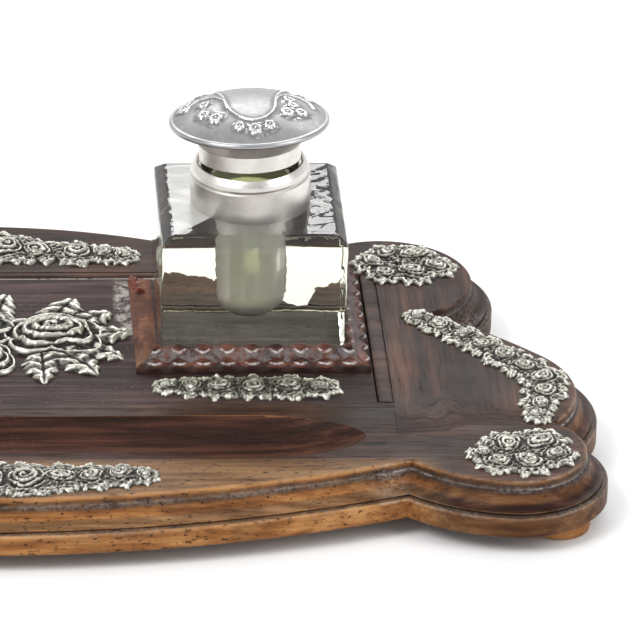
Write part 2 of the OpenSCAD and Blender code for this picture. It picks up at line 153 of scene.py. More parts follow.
def block(name, lo, hi):
    c = [(x, y, z) for z in (lo[2], hi[2]) for y in (lo[1], hi[1]) for x in (lo[0], hi[0])]
    faces = [[0, 2, 3, 1], [4, 5, 7, 6], [0, 1, 5, 4], [2, 6, 7, 3], [0, 4, 6, 2], [1, 3, 7, 5]]
    return loose(name, c, faces)


def smooth_ramp(v, lo, hi):
    t = np.clip((v - lo) / (hi - lo), 0, 1)
    return t * t * (3 - 2 * t)


def kept_quads(heights, floor):
    """The grid's squares that rise above the floor, and the grid points that they use."""
    up = heights > floor
    keep = up[:-1, :-1] | up[1:, :-1] | up[1:, 1:] | up[:-1, 1:]
    idx = np.arange(heights.size).reshape(heights.shape)
    quads = np.stack([idx[:-1, :-1], idx[1:, :-1], idx[1:, 1:], idx[:-1, 1:]], -1)[keep]
    used, inv = np.unique(quads, return_inverse=True)
    return inv.reshape(quads.shape), used


# ---- node materials
def fill_ramp(node, stops):
    els = node.color_ramp.elements
    while len(els) < len(stops):
        els.new(0.5)
    for e, (p, c) in zip(els, stops):
        e.position, e.color = p, (*c, 1)


class Nodes:
    """Short hands for building one node material."""

    def __init__(self, name):
        self.mat = bpy.data.materials.new(name)
        self.mat.use_nodes = True
        self.tree = self.mat.node_tree
        self.bsdf = self.tree.nodes["Principled BSDF"]
        self.out = self.tree.nodes["Material Output"]
        self.coord = self.tree.nodes.new("ShaderNodeTexCoord").outputs["Object"]

    def put(self, socket, value):
        if isinstance(value, bpy.types.NodeSocket):
            self.tree.links.new(value, socket)
        elif value is not None:
            if socket.type == "RGBA" and len(value) == 3:
                value = (*value, 1)
            socket.default_value = value

    def set(self, name, value):
        self.put(self.bsdf.inputs[name], value)

    def math(self, op, a, b=0.0):
        n = self.tree.nodes.new("ShaderNodeMath")
        n.operation = op
        self.put(n.inputs[0], a)
        self.put(n.inputs[1], b)
        return n.outputs[0]

    def mul(self, *values):
        out = values[0]
        for v in values[1:]:
            out = self.math("MULTIPLY", out, v)
        return out

    def step(self, value, lo, hi, a=0.0, b=1.0):
        """Smooth change from a at lo to b at hi."""
        n = self.tree.nodes.new("ShaderNodeMapRange")
        n.interpolation_type = "SMOOTHSTEP"
        self.put(n.inputs["Value"], value)
        for key, v in (("From Min", lo), ("From Max", hi), ("To Min", a), ("To Max", b)):
            n.inputs[key].default_value = v
        return n.outputs[0]

    def band(self, value, lo, hi, soft):
        return self.mul(self.step(value, lo - soft, lo), self.step(value, hi, hi + soft, 1, 0))

    def mix(self, fac, a, b):
        n = self.tree.nodes.new("ShaderNodeMix")
        n.data_type = "RGBA"
        self.put(n.inputs[0], fac)
        self.put(n.inputs[6], a)
        self.put(n.inputs[7], b)
        return n.outputs[2]

    def mapping(self, scale):
        n = self.tree.nodes.new("ShaderNodeMapping")
        self.put(n.inputs["Vector"], self.coord)
        n.inputs["Scale"].default_value = scale
        return n.outputs[0]

    def noise(self, scale, detail=4.0, rough=0.55, vector=None, distortion=0.0):
        n = self.tree.nodes.new("ShaderNodeTexNoise")
        self.put(n.inputs["Vector"], vector or self.coord)
        n.inputs["Scale"].default_value = scale
        n.inputs["Detail"].default_value = detail
        n.inputs["Roughness"].default_value = rough
        n.inputs["Distortion"].default_value = distortion
        return n.outputs["Fac"]

    def ramp(self, value, stops):
        n = self.tree.nodes.new("ShaderNodeValToRGB")
        self.put(n.inputs[0], value)
        fill_ramp(n, stops)
        return n.outputs[0]

    def xyz(self):
        n = self.tree.nodes.new("ShaderNodeSeparateXYZ")
        self.put(n.inputs[0], self.coord)
        return n.outputs

    def normal(self):
        g = self.tree.nodes.new("ShaderNodeTexCoord").outputs["Normal"]
        n = self.tree.nodes.new("ShaderNodeSeparateXYZ")
        self.put(n.inputs[0], g)
        return n.outputs

    def attr(self, name):
        n = self.tree.nodes.new("ShaderNodeAttribute")
        n.attribute_name = name
        return n.outputs["Fac"]

    def bump(self, height, distance, strength):
        n = self.tree.nodes.new("ShaderNodeBump")
        n.inputs["Strength"].default_value = strength
        n.inputs["Distance"].default_value = distance
        self.put(n.inputs["Height"], height)
        self.set("Normal", n.outputs[0])


def wood_grain(m, cross=None):
    """Streaks, pores and figure of a wood whose grain runs along X, and along Y where cross is 1."""
    along = m.mapping((0.05, 1, 1))
    wavy = m.mapping((0.12, 1, 1))
    if cross is not None:
        along = m.mix(cross, along, m.mapping((1, 0.05, 1)))
        wavy = m.mix(cross, wavy, m.mapping((1, 0.12, 1)))
    streak = m.noise(420, 6, 0.62, along)
    pores = m.noise(1500, 3, 0.6, along)
    figure = m.noise(70, 4, 0.55, wavy, 0.6)
    return streak, pores, figure


def streaks_of(m, streak, figure, share):
    return m.math("ADD", m.mul(streak, share), m.mul(figure, 1 - share))


def grain_bump(m, streak, pores, depth):
    relief = m.math("ADD", m.mul(streak, 0.6), m.mul(m.step(pores, 0.58, 0.7, 1, 0), 0.4))
    m.bump(relief, depth, 0.55)


def golden_front(m, colour, tone, ax, y):
    """The pale wood of the front bow, with its worn lip, a dark joint line and painted shade in the cove,
    dark pits and the red trough.
    """
    gold = m.ramp(tone, [(0.36, (0.055, 0.025, 0.011)), (0.5, (0.165, 0.085, 0.038)),
                         (0.64, (0.31, 0.175, 0.084))])
    orange = m.ramp(tone, [(0.36, (0.070, 0.024, 0.009)), (0.5, (0.26, 0.105, 0.032)),
                           (0.63, (0.44, 0.22, 0.078))])
    up = m.normal()[2]
    side = m.step(up, 0.55, 0.8, 1, 0)
    worn = m.noise(45, 3, 0.6)
    bow = m.mul(m.step(ax, 0.112, 0.135, 1, 0), m.step(y, -0.0636, -0.0642))
    top_gold = m.mul(bow, m.step(worn, 0.3, 0.5, 0.55, 1.0), m.step(up, 0.55, 0.8))
    colour = m.mix(top_gold, colour, gold)
    edge_gold = m.mul(side, m.step(ax, 0.118, 0.132, 1, 0.30), m.step(y, 0.02, -0.03, 0.15, 1))
    colour = m.mix(m.mul(edge_gold, m.step(worn, 0.25, 0.55, 0.5, 1)), colour, orange)
    lip = m.mul(m.attr("lip"), m.step(m.noise(120, 3, 0.6), 0.3, 0.6, 0.35, 1),
                m.step(ax, 0.112, 0.135, 1, 0.22), m.step(y, 0.0, -0.05, 0.35, 1))
    colour = m.mix(m.mul(lip, 0.55), colour, (0.52, 0.26, 0.09))
    # Dark joint lines, and painted shade on the cove's upper part and along the plinth's bottom edge.
    groove = m.mul(m.attr("groove"), m.step(m.noise(160, 3, 0.6), 0.25, 0.6, 1, 0.55))
    colour = m.mix(groove, colour, (0.035, 0.024, 0.02))
    pits = m.mul(m.step(m.noise(1100, 2, 0.5, m.mapping((0.45, 1, 1))), 0.62, 0.68),
                 m.math("MAXIMUM", top_gold, edge_gold), 0.8)
    colour = m.mix(pits, colour, (0.022, 0.011, 0.007))
    red = m.ramp(tone, [(0.38, (0.011, 0.0055, 0.0045)), (0.5, (0.036, 0.0145, 0.010)),
                        (0.64, (0.105, 0.042, 0.026))])
    return m.mix(m.attr("trough"), colour, red)


def edge_dust(m, colour):
    """Pale lines along the edges, painted highlights on partly rubbed wood, and dust that has stayed in the
    moulding.
    """
    dust_fine = m.noise(900, 4, 0.7)
    dust = m.mul(m.attr("dust"), m.step(dust_fine, 0.42, 0.62), m.step(m.noise(60, 2, 0.5), 0.35, 0.6))
    # Pale lines along the moulding's edges: painted highlight, partly rubbed wood.
    highlight_and_wear = m.mul(m.attr("highlight_and_wear"), m.step(m.noise(350, 4, 0.7), 0.36, 0.58),
                 m.step(m.noise(28, 2, 0.5), 0.40, 0.58, 0.25, 1))
    colour = m.mix(m.mul(highlight_and_wear, 0.8), colour, (0.50, 0.45, 0.41))
    return m.mix(m.mul(dust, 0.5), colour, (0.36, 0.325, 0.30))


def walnut(name, dark, mid, light, dusty=0.5, gold_front=False):
    """Walnut; gold_front adds what only the two boards show, and turns the grain at the stand's ends."""
    m = Nodes(name)
    x, y = m.xyz()[:2]
    ax = m.math("ABSOLUTE", x)
    cross = None
    if gold_front:
        drift = m.math("ADD", y, m.mul(m.math("SUBTRACT", m.noise(40, 2), 0.5), 0.03))
        cross = m.mul(m.step(ax, 0.1188, 0.1192), m.step(drift, -0.046, -0.030))
    streak, pores, figure = wood_grain(m, cross)
    tone = streaks_of(m, streak, figure, 0.55)
    colour = m.ramp(tone, [(0.38, dark), (0.5, mid), (0.63, light)])
    blotch = m.noise(22, 3, 0.5)
    colour = m.mix(m.step(blotch, 0.50, 0.68, 0, 0.6), colour, tuple(0.8 * v for v in dark))
    if gold_front:
        colour = golden_front(m, colour, tone, ax, y)
    colour = m.mix(m.step(pores, 0.62, 0.7, 0, 0.5), colour, tuple(0.25 * v for v in dark))
    if gold_front:
        colour = edge_dust(m, colour)
    speck = m.mul(m.step(m.noise(2600, 2, 0.5), 0.70, 0.76), m.step(m.noise(30, 2, 0.5), 0.45, 0.7), dusty)
    colour = m.mix(speck, colour, (0.45, 0.42, 0.40))
    m.set("Base Color", colour)
    m.set("Roughness", m.math("ADD", m.mul(m.noise(80, 4), 0.25), 0.3))
    m.set("Specular IOR Level", 0.10)
    grain_bump(m, streak, pores, 0.00035)
    return m.mat


def metal(name, base, rough, dark=None, worn=None, relief=0.0):
    """Silver or gilt; with relief, dark in hollows and bright on crests by the mesh's cavity value."""
    m = Nodes(name)
    tarnish = m.noise(90, 4, 0.6)
    colour = m.mix(m.step(tarnish, 0.40, 0.75, 0, 0.5), base, tuple(0.62 * v for v in base))
    hair = m.noise(700, 3, 0.6, m.mapping((1, 0.12, 1)))
    colour = m.mix(m.step(hair, 0.58, 0.7, 0, 0.25), colour, tuple(0.5 * v for v in base))
    r = m.math("ADD", m.mul(m.noise(60, 3), 0.16), rough - 0.06)
    if relief:
        cav = m.attr("cav")
        hollow = m.step(cav, 0.64, 0.40, 0, 1)
        hollow = m.mul(hollow, m.step(m.noise(500, 3, 0.6), 0.2, 0.55, 0.55, 1), relief)
        colour = m.mix(hollow, colour, dark)
        crest = m.step(cav, 0.66, 0.92)
        colour = m.mix(m.mul(crest, 0.85), colour, worn)
        r = m.math("ADD", r, m.mul(hollow, 0.35))
        m.set("Metallic", m.math("SUBTRACT", 1.0, m.mul(hollow, 0.55)))
    else:
        m.set("Metallic", 1.0)
    m.set("Base Color", colour)
    m.set("Roughness", r)
    m.bump(m.math("ADD", m.mul(hair, 0.6), m.mul(tarnish, 0.4)), 0.00006, 0.5)
    return m.mat


def glass(name, rough=0.015, clear=1.0):
    """Thick, faintly yellow-green glass with a wavy face; less clear where dried ink has hazed it."""
    m = Nodes(name)
    m.set("Base Color", (0.985, 0.99, 0.95))
    m.set("Roughness", rough)
    m.set("IOR", 1.52)
    m.set("Transmission Weight", clear)
    wave = m.noise(75, 2, 0.5, m.mapping((1, 1, 0.45)), 0.6)
    fine = m.noise(260, 2, 0.5, m.mapping((1, 1, 0.6)), 0.4)
    m.bump(m.math("ADD", m.mul(wave, 0.8), m.mul(fine, 0.2)), 0.0016, 0.35)
    vol = m.tree.nodes.new("ShaderNodeVolumeAbsorption")
    vol.inputs["Color"].default_value = (0.86, 0.88, 0.38, 1)
    vol.inputs["Density"].default_value = 4.0
    m.tree.links.new(vol.outputs[0], m.out.inputs["Volume"])
    return m.mat


def plain(name, base, spread, rough, scale, metallic=0.0, depth=0.0002):
    """A mottled finish: base, darkened to spread times base in the grain."""
    m = Nodes(name)
    n = m.noise(scale, 5, 0.65)
    big = m.noise(scale * 0.12, 3, 0.5)
    colour = m.mix(m.step(n, 0.35, 0.7), tuple(v * spread for v in base), base)
    colour = m.mix(m.step(big, 0.45, 0.7, 0, 0.4), colour, tuple(v * 0.7 for v in base))
    m.set("Base Color", colour)
    m.set("Metallic", metallic)
    m.set("Roughness", m.math("ADD", m.mul(n, 0.25), rough - 0.12))
    m.bump(n, depth, 0.6)
    return m.mat


def rail_wood(name):
    """Ripple moulding: red-brown crests with pale lines under them, painted highlights on partly rubbed wood,
    grey dust lying in the valleys, and painted shade on the outer face below the rows.
    """
    m = Nodes(name)
    streak = m.noise(500, 5, 0.62, m.mapping((0.3, 0.3, 1)))
    colour = m.ramp(streak, [(0.36, (0.020, 0.008, 0.006)), (0.5, (0.070, 0.023, 0.015)),
                             (0.64, (0.150, 0.052, 0.034))])
    grime = m.step(m.noise(520, 4, 0.7), 0.34, 0.62)
    valley = m.mul(m.attr("dusty"), grime)
    colour = m.mix(m.mul(valley, 0.75), colour, (0.17, 0.165, 0.165))
    # Pale lines under the crests: painted highlight, partly rubbed wood.
    worn = m.mul(m.attr("ripple_highlight"), m.step(m.noise(900, 3, 0.6), 0.28, 0.6))
    colour = m.mix(m.mul(worn, 0.95), colour, (0.72, 0.69, 0.67))
    # Painted shade: the outer face below the lower row of crests is painted near black.
    colour = m.mix(m.step(m.attr("crest"), 0.7, 0.2, 0, 0.75), colour, (0.02, 0.012, 0.01))
    m.set("Base Color", colour)
    m.set("Specular IOR Level", 0.2)
    m.set("Roughness", m.math("ADD", m.mul(valley, 0.4), 0.36))
    m.bump(m.math("ADD", streak, m.mul(grime, 0.3)), 0.0003, 0.6)
    return m.mat


def panel_wood():
    """The sunk panel: dark purplish, with the bare strip that a lost rail has left."""
    m = Nodes("panel_wood")
    x, y = m.xyz()[:2]
    streak, pores, figure = wood_grain(m)
    tone = streaks_of(m, streak, figure, 0.6)
    colour = m.ramp(tone, [(0.38, (0.010, 0.0055, 0.0055)), (0.5, (0.030, 0.0165, 0.0155)),
                           (0.64, (0.085, 0.050, 0.045))])
    colour = m.mix(m.step(pores, 0.6, 0.7, 0, 0.6), colour, (0.012, 0.008, 0.008))
    pale = m.mul(m.band(x, 0.0425, 0.0452, 0.002), m.band(y, 0.018, 0.048, 0.006),
                 m.step(m.noise(300, 4, 0.7), 0.42, 0.6))
    colour = m.mix(m.mul(pale, 0.75), colour, (0.45, 0.41, 0.39))
    strip = m.mul(m.band(x, 0.0462, 0.0524, 0.0004), m.step(y, -0.0085, -0.0075))
    bare = m.ramp(m.noise(260, 4, 0.65, m.mapping((1, 0.25, 1))),
                  [(0.35, (0.05, 0.015, 0.008)), (0.5, (0.12, 0.042, 0.020)), (0.66, (0.24, 0.10, 0.052))])
    marks = m.step(m.noise(1300, 3, 0.6, m.mapping((0.12, 1, 1))), 0.48, 0.58)
    bare = m.mix(m.mul(marks, 0.7), bare, (0.09, 0.032, 0.02))
    bare = m.mix(m.step(y, 0.012, -0.006, 0, 0.35), bare, (0.33, 0.18, 0.10))
    colour = m.mix(strip, colour, bare)
    dust = m.mul(m.step(y, 0.0525, 0.0534), m.step(m.noise(400, 3, 0.6), 0.3, 0.5))
    colour = m.mix(m.mul(dust, 0.8), colour, (0.55, 0.52, 0.50))
    speck = m.mul(m.step(m.noise(2200, 2, 0.5), 0.68, 0.74), m.step(m.noise(40, 2, 0.5), 0.45, 0.65), 0.7)
    colour = m.mix(speck, colour, (0.45, 0.42, 0.40))
    m.set("Base Color", colour)
    m.set("Specular IOR Level", 0.10)
    m.set("Roughness", m.math("ADD", m.mul(m.noise(90, 4), 0.2), 0.42))
    grain_bump(m, streak, pores, 0.0003)
    return m.mat


BOARD_MAT = walnut("board_walnut", (0.0095, 0.0045, 0.0038), (0.040, 0.0165, 0.0105), (0.110, 0.050, 0.030),
                   gold_front=True)
STRIP_MAT = walnut("strip_walnut", (0.018, 0.010, 0.008), (0.055, 0.028, 0.021), (0.13, 0.072, 0.053), 1.0)
FOOT_MAT = walnut("foot_walnut", (0.12, 0.04, 0.014), (0.36, 0.15, 0.05), (0.55, 0.28, 0.11), 0.6)
RAIL_MAT = rail_wood("ripple_walnut")
OLD_SILVER = metal("old_silver", (0.25, 0.24, 0.205), 0.36, (0.014, 0.013, 0.011), (0.66, 0.645, 0.58), 1.0)
LID_SILVER = metal("lid_silver", (0.52, 0.52, 0.535), 0.22, (0.10, 0.095, 0.09), (0.93, 0.92, 0.91), 0.75)
COLLAR_SILVER = metal("collar_silver", (0.80, 0.765, 0.725), 0.34)
GILT = metal("gilt", (0.74, 0.63, 0.40), 0.25)
GLASS = glass("ink_glass")
HAZED_GLASS = glass("ink_glass_hazed", 0.22, 0.55)
GROUND_BASE = plain("ground_glass_base", (0.90, 0.93, 0.84), 0.9, 0.7, 250)
PLASTER = plain("cement", (0.62, 0.58, 0.50), 0.7, 0.9, 500)
BRASS = plain("old_brass", (0.42, 0.30, 0.14), 0.6, 0.45, 700, 1.0, 0.0001)
GLUE = plain("old_glue", (0.24, 0.045, 0.018), 0.35, 0.35, 900, 0.0, 0.0004)


# ---- the two boards
def outline(inset):
    """The plinth's edge moved inwards: the right half's arcs, then their mirror image."""
    rad = [r - inset for _, r in ARCS]
    cen = [np.array(c, float) for c, _ in ARCS]
    pts = [cen[0] - [0, rad[0]]]
    for a, b, ra, rb in zip(cen, cen[1:], rad, rad[1:]):
        d = np.linalg.norm(b - a)
        u = (b - a) / d
        q = (d * d + ra * ra - rb * rb) / (2 * d)
        h = math.sqrt(max(0, ra * ra - q * q))
        pts.append(a + q * u + h * np.array([u[1], -u[0]]))
    pts.append(cen[-1] + [0, rad[-1]])
    half = []
    for c, r, p, q, k in zip(cen, rad, pts, pts[1:], ARC_POINTS):
        a0 = math.atan2(*(p - c)[::-1])
        a1 = math.atan2(*(q - c)[::-1])
        a1 += PI2 if a1 < a0 else 0
        t = a0 + (a1 - a0) * np.arange(k) / k
        half.append(c + r * np.stack([np.cos(t), np.sin(t)], 1))
    half = np.concatenate(half + [pts[-1][None]])
    left = half[-2:0:-1] * [-1, 1]
    return np.concatenate([half, left])


def board_mesh(name, profile):
    """A board lofted up the edge profile [(inset, z)...]."""
    edges = [outline(inset) for inset, _ in profile]
    n = len(edges[0])
    pts = np.concatenate([np.column_stack([e, np.full(n, z)]) for e, (_, z) in zip(edges, profile)])
    return loose(name, pts, capped(len(profile), n))


def set_values(ob, values):
    for key, v in values.items():
        ob.data.attributes.new(key, "FLOAT", "POINT").data.foreach_set("value", np.asarray(v, np.float32))


def points_of(ob):
    co = np.empty(len(ob.data.vertices) * 3)
    ob.data.vertices.foreach_get("co", co)
    return co.reshape(-1, 3) / MM


def inset_of(pts):
    """Distance of each point from the plinth's edge."""
    edge = outline(0)
    out = np.empty(len(pts))
    for k in range(0, len(pts), 4000):
        d = pts[k:k + 4000, None, :2] - edge[None]
        out[k:k + 4000] = np.sqrt((d ** 2).sum(2)).min(1)
    return out


def rounded(r, x0, z0, k=4):
    """A quarter round about (x0, z0), from its outermost point up to its top: points [(inset, z)...]."""
    turns = [math.radians(180 - 90 * i / k) for i in range(k + 1)]
    return [(x0 + r * math.cos(a), z0 + r * math.sin(a)) for a in turns]


def part_flat_top(ob):
    """Keeps the shading of the flat top from running into the trough's shallow ends."""
    me = ob.data
    flat = [f.normal.z > 0.9999 and f.center.z > (TOP_Z - 0.01) * MM for f in me.polygons]
    kinds = {}
    for f, is_flat in zip(me.polygons, flat):
        for e in f.edge_keys:
            kinds.setdefault(e, set()).add(is_flat)
    sharp = me.attributes.get("sharp_edge") or me.attributes.new("sharp_edge", "BOOLEAN", "EDGE")
    for e in me.edges:
        if len(kinds[e.key]) == 2:
            sharp.data[e.index].value = True


def make_plinth():
    plinth = board_mesh("plinth", [(2, FOOT_H), (0.5, FOOT_H), (0.0, FOOT_H + 0.5), (0.0, FOOT_H + 1.2),
                                   (0.0, FOOT_H + 2.4), (0.0, FOOT_H + 4), (0.02, JOINT_Z - 1.3)]
                        + rounded(0.9, 0.9, JOINT_Z - 0.9) + [(1.5, JOINT_Z), (4, JOINT_Z)])
    x, _, z = points_of(plinth).T
    up = z - JOINT_Z
    # Painted shade along the plinth's bottom edge, above the feet.
    foot_line = smooth_ramp(z, FOOT_H + 0.8, FOOT_H + 0.1)
    set_values(plinth, {
        # The dark line at the joint, and the painted shade along the bottom edge.
        "lip": smooth_ramp(up, -1.4, -0.4) * 0.6, "groove": smooth_ramp(up, -0.25, -0.02) + foot_line * 0.5,
        "dust": smooth_ramp(up, -1.6, -0.7) * 0.4, "trough": z * 0,
        # Pale line on the plinth's round top edge: painted highlight, partly rubbed wood.
        "highlight_and_wear": np.exp(-((up + 0.45) / 0.25) ** 2) * np.where(np.abs(x) < BOW_X, 0.15, 0.7)})
    finish_mesh(plinth, BOARD_MAT, 40)
    place(plinth, "stand", ["plinth_board"])


def moulding():
    """The top board's edge, from the joint up: a small round, a cove, a step and a rounded lip."""
    ledge, cove_h = 1.5, 4.4
    cove_out = TOP_INSET - ledge - 0.8
    turns = [math.radians(a) for a in np.linspace(0, 90, 15)]
    cove = [(ledge + cove_out * math.sin(a), JOINT_Z + 0.9 + cove_h * (1 - math.cos(a))) for a in turns]
    return ([(4, JOINT_Z), (ledge + 0.9, JOINT_Z), (ledge + 0.7, JOINT_Z + 0.05),
             (ledge + 0.25, JOINT_Z + 0.28), (ledge, JOINT_Z + 0.65)] + cove
            + [(TOP_INSET - 0.45, JOINT_Z + 5.55), (TOP_INSET - 0.05, JOINT_Z + 5.9),
               (TOP_INSET, JOINT_Z + 6.3), (TOP_INSET, JOINT_Z + 7.0)]
            + rounded(0.8, TOP_INSET + 0.8, TOP_Z - 0.8, 5)
            + [(TOP_INSET + i, TOP_Z) for i in (1.3, 2.2, 3.5)])


def scoop():
    """The solid that cuts the pen trough: round in section, rising to nothing at both ends."""
    flat = TROUGH_X - TROUGH_END
    t = np.linspace(0, 1, 33)
    radius = TROUGH_R - (TROUGH_DEPTH + 0.5) * t ** 2
    prof = ([(0.001, -TROUGH_X)] + [(r, -flat - TROUGH_END * k) for r, k in zip(radius[::-1], t[::-1])]
            + [(TROUGH_R, v) for v in np.linspace(-flat, flat, 41)[1:-1]]
            + [(r, flat + TROUGH_END * k) for r, k in zip(radius, t)] + [(0.001, TROUGH_X)])
    pts, faces = lathe(prof, 160)
    at = Matrix.Translation((0, TROUGH_Y, TOP_Z + TROUGH_R - TROUGH_DEPTH))
    return loose("scoop", moved(pts, at @ Matrix.Rotation(math.pi / 2, 4, "Y")), faces)


def edge_values(pts):
    """Where the top board has pale edge lines (painted highlights on partly rubbed wood), a dark joint,
    painted shade in its cove, dust, or the trough's hollow, for its material.
    """
    x, y, z = pts.T
    up = z - JOINT_Z
    d = inset_of(pts)
    trough = (np.abs(x) < TROUGH_X + 1) & (np.abs(y - TROUGH_Y) < TROUGH_W / 2 + 0.1)
    trough = trough & (z < TOP_Z - 0.03) & (d > 8)
    on_edge = d < TOP_INSET + 3
    lip = on_edge * smooth_ramp(z, TOP_Z - 1.2, TOP_Z - 0.3)
    lip = lip * (1 - smooth_ramp(d, TOP_INSET + 0.5, TOP_INSET + 1.4))
    # Painted shade on the cove's upper part, under the step, and the dark line at the joint.
    groove = on_edge * smooth_ramp(up, 4.0, 5.2) * (1 - smooth_ramp(z, TOP_Z - 1.6, TOP_Z - 0.8))
    groove = np.maximum(groove, on_edge * (1 - smooth_ramp(up, 0.02, 0.3)))
    rim = smooth_ramp(z, TOP_Z - 0.9, TOP_Z - 0.2) * (1 - smooth_ramp(d, TOP_INSET + 0.6, TOP_INSET + 1.6))
    dust = on_edge * (smooth_ramp(up, 4.4, 5.4) * (1 - smooth_ramp(up, 6.4, 7.2)) + 0.5 * rim)
    notch = np.zeros(len(pts))
    for cx, cy in NOTCHES:
        notch = np.maximum(notch, np.exp(-((np.abs(x) - cx) ** 2 + (y - cy) ** 2) / 55.0) * on_edge)
    # Pale lines at the step, the ledge and the lip: painted highlights, partly rubbed wood.
    highlight_and_wear = on_edge * (np.exp(-((up - 5.95) / 0.22) ** 2) + 0.7 * np.exp(-((up - 0.62) / 0.2) ** 2)
                      + 0.6 * np.exp(-((z - TOP_Z + 0.25) / 0.18) ** 2) * (d < TOP_INSET + 0.7))
    return {"highlight_and_wear": highlight_and_wear * np.where((np.abs(x) < BOW_X) & (y < 0), 0.25, 1.0), "lip": lip, "groove": groove,
            "dust": np.clip(0.45 * dust + 1.8 * notch, 0, 1.6), "trough": trough.astype(float)}


def make_top_board():
    board = board_mesh("board", moulding())
    pocket = block("pocket", (-PANEL_X - STRIP_W - CRACK, PANEL_FRONT - STRIP_FRONT_W, PANEL_Z),
                   (PANEL_X + STRIP_W + CRACK, PANEL_BACK + STRIP_BACK_W, TOP_Z + 5))
    boolean(board, pocket, "DIFFERENCE")
    boolean(board, scoop(), "DIFFERENCE")
    set_values(board, edge_values(points_of(board)))
    finish_mesh(board, BOARD_MAT, 35)
    part_flat_top(board)
    place(board, "stand", ["top_board"])


# ---- ripple rails
# The section: distance out from the glass, height, and how far the point takes part in the ripple
RAIL = np.array([(0.15, 0, 0), (0.05, 3, 0), (0.05, 5.6, .6), (0.35, 6.15, 1), (0.9, 6.25, 1),
                 (1.4, 5.75, .9), (1.9, 4.9, .55), (2.5, 4.0, .35), (3.2, 3.2, .25), (4.0, 2.85, .35),
                 (4.8, 2.85, .7), (5.5, 2.95, 1), (6.1, 2.75, 1), (6.6, 2.2, 1), (6.9, 1.2, .6),
                 (6.95, 0.05, 0)])
RAIL_POINTS = 56


def rail_profile():
    """The section as evenly spaced points, with how far round it each lies."""
    run = np.concatenate([[0], np.cumsum(np.hypot(*np.diff(RAIL[:, :2], axis=0).T))])
    q = np.linspace(0, run[-1], RAIL_POINTS)
    return np.stack([np.interp(q, run, RAIL[:, k]) for k in range(3)], 1), q


def rail(name, x0, x1, m0, m1, turn, shift, side, node, phase):
    """A rippled rail, mitred (1) or square (0) at each end, standing round one well."""
    prof, q = rail_profile()
    n = int((x1 - x0) / 0.25)
    pts, arcs, dusty, red = [], [], [], []
    for i in range(n + 1):
        a, b = x0 - m0 * prof[:, 0], x1 + m1 * prof[:, 0]
        x = a + (b - a) * i / n
        w = 0.5 + 0.5 * np.cos(PI2 * x / WAVE_PITCH + phase)
        z = prof[:, 1] + prof[:, 2] * 2 * WAVE_H * (w - 1)
        y = -prof[:, 0] + prof[:, 2] * 0.3 * (1 - w) * (prof[:, 0] > 2)
        pts.append(np.stack([x, y, z], 1))
        upper = 7.0 + 2.3 * w
        lower = 12.4 + 1.7 * w
        # Pale lines under each row of crests, for the painted highlight on partly rubbed wood.
        both = np.exp(-((q - upper) / 0.30) ** 2) + np.exp(-((q - lower) / 0.28) ** 2)
        arcs.append(both * smooth_ramp(w, 0.25, 0.6))
        past = 1 - smooth_ramp(q, 12.2 - 1.6 * w, 12.8 - 1.6 * w)
        dusty.append(smooth_ramp(q, upper - 0.2, upper + 0.5) * past)
        # Clear of painted shade down to just past the lower row of crests; the outer face below it is painted
        # dark as shade.
        red.append(1 - smooth_ramp(q, lower + 0.9, lower + 1.6))
    k = len(prof)
    pts = np.concatenate(pts)
    faces = loft_faces(n + 1, k).tolist()
    faces.append(list(range(k)))
    faces.append([n * k + j for j in range(k)][::-1])
    c, s = math.cos(turn), math.sin(turn)
    xy = pts[:, :2] @ np.array([[c, s], [-s, c]]) + shift
    world = np.column_stack([xy[:, 0] + side * WELL_X, xy[:, 1] + WELL_Y, pts[:, 2] + PANEL_TOP])
    add_mesh(name, world, faces, "stand", RAIL_MAT,
             {"ripple_highlight": np.concatenate(arcs), "dusty": np.concatenate(dusty), "crest": np.concatenate(red)},
             60, [node])


def make_rails():
    back = PANEL_BACK - WELL_Y - 1.2
    for side, word in SIDES:
        rail(f"{word}_ripple_front", -RAIL_IN, RAIL_IN, 1, 1, 0, (0, -RAIL_IN), side,
             f"{word}_gallery_front", 0.4)
        for d, where in ((side, "outer"), (-side, "inner")):
            if side > 0 and where == "inner":
                continue
            ends = (-RAIL_IN, back, 1, 0) if d > 0 else (-back, RAIL_IN, 0, 1)
            rail(f"{word}_ripple_{where}", *ends, d * math.pi / 2, (d * RAIL_IN, 0), side,
                 f"{word}_gallery_{where}", 1.1)


# ---- cast mounts, as relief over a fine grid
GRID = 0.32
CUT = -0.5  # the height given to grid points that no part covers


def warp(x, y, amount, scale, seed):
    """Shifts the drawing a little here and there, so that no two flowers are alike."""
    a = np.random.default_rng(seed).uniform(0, PI2, 8)
    u, v = x / scale, y / scale
    dx = np.sin(u + a[0]) * np.cos(v * 1.3 + a[1]) + 0.5 * np.sin(u * 2.3 + v + a[2])
    dy = np.sin(v + a[3]) * np.cos(u * 1.2 + a[4]) + 0.5 * np.sin(v * 2.1 - u + a[5])
    return x + amount * dx, y + amount * dy


